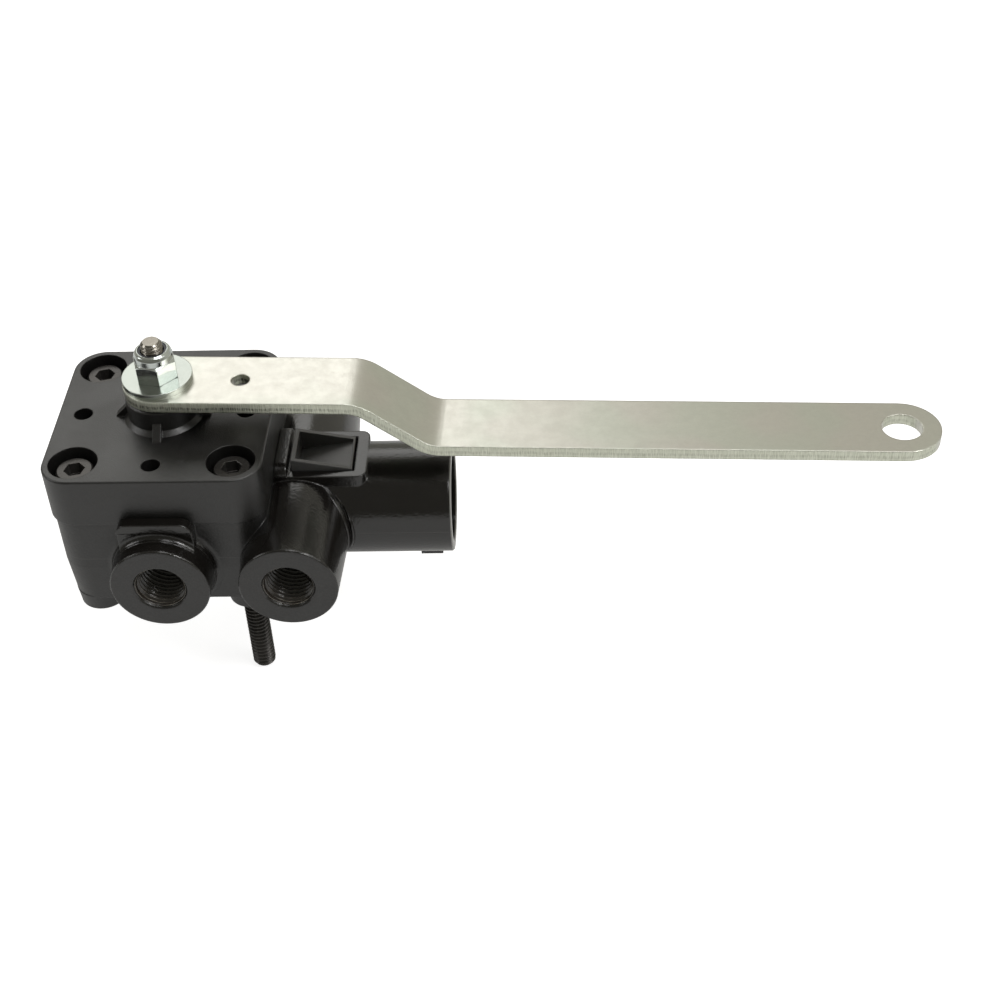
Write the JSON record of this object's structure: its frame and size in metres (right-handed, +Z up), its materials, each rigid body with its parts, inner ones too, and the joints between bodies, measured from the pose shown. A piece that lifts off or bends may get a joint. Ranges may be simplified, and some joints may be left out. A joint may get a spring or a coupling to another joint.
{
  "type": "height control valve",
  "caption": "Air suspension height control valve: square covered housing, long cranked lever on a turning shaft, threaded side ports and open side tube.",
  "frame": {"origin": "on the plane of the feet, midway between the two mounting screws and on the lever shaft's axis", "axes": "+X along the lever and the side tube, +Y to the rear port, +Z up the lever shaft, out of the cover"},
  "size_m": [0.2278, 0.0712, 0.0948],
  "materials": {
    "black_housing": "moulded black nylon, fine orange peel",
    "black_cover": "moulded black nylon, satin",
    "zinc_plate": "zinc plated flat steel, satin",
    "bright_zinc": "bright zinc plated steel",
    "black_oxide": "black oxide steel, oiled",
    "shaft_steel": "turned steel",
    "nylon_insert": "dark nylon",
    "seal_rubber": "nitrile rubber",
    "bearing_bronze": "sintered bronze",
    "spring_steel": "drawn spring wire",
    "disc_ceramic": "lapped ceramic",
    "brass_parts": "turned brass",
    "grey_acetal": "turned acetal",
    "screen_brass": "pressed screen"
  },
  "bodies": {
    "housing": {"valve_body": "black_housing", "cover": "black_cover", "cover_gasket": "seal_rubber", "cover_screw_front": "black_oxide", "cover_screw_rear": "black_oxide", "mounting_screw_front": "black_oxide", "mounting_screw_rear": "black_oxide", "shaft_bushing": "bearing_bronze", "thrust_spring": "spring_steel", "seat_disc": "disc_ceramic", "seat_seals": "seal_rubber", "seat_pin": "spring_steel", "retaining_clip": "black_housing", "inlet_screen": "screen_brass", "inlet_seat": "brass_parts", "inlet_spring": "spring_steel", "dump_cartridge": "grey_acetal", "cartridge_seals": "seal_rubber", "dump_seat": "brass_parts", "dump_spring": "spring_steel", "exhaust_screen": "screen_brass"},
    "lever": {"control_shaft": "shaft_steel", "shaft_seal": "seal_rubber", "rotor_disc": "disc_ceramic", "lever_arm": "zinc_plate", "lever_washer": "bright_zinc", "lock_nut": "bright_zinc", "lock_nut_insert": "nylon_insert"},
    "inlet_poppet": {"inlet_poppet": "brass_parts"},
    "dump_piston": {"dump_piston": "brass_parts", "piston_seal": "seal_rubber"}
  },
  "joints": [
    {"name": "lever_turn", "type": "hinge", "parent": "housing", "child": "lever", "pos_m": [0, 0, 0.0453], "axis": [0, 0, 1], "range_deg": [-45, 45]},
    {"name": "inlet_check", "type": "slide", "parent": "housing", "child": "inlet_poppet", "axis": [0, 1, 0], "range_m": [0, 0.002], "stiffness_N_per_m": 120, "springref_m": -0.002, "deforming": ["inlet_spring"]},
    {"name": "dump_slide", "type": "slide", "parent": "housing", "child": "dump_piston", "axis": [-1, 0, 0], "range_m": [0, 0.004], "stiffness_N_per_m": 400, "springref_m": -0.004, "deforming": ["dump_spring"]}
  ]
}
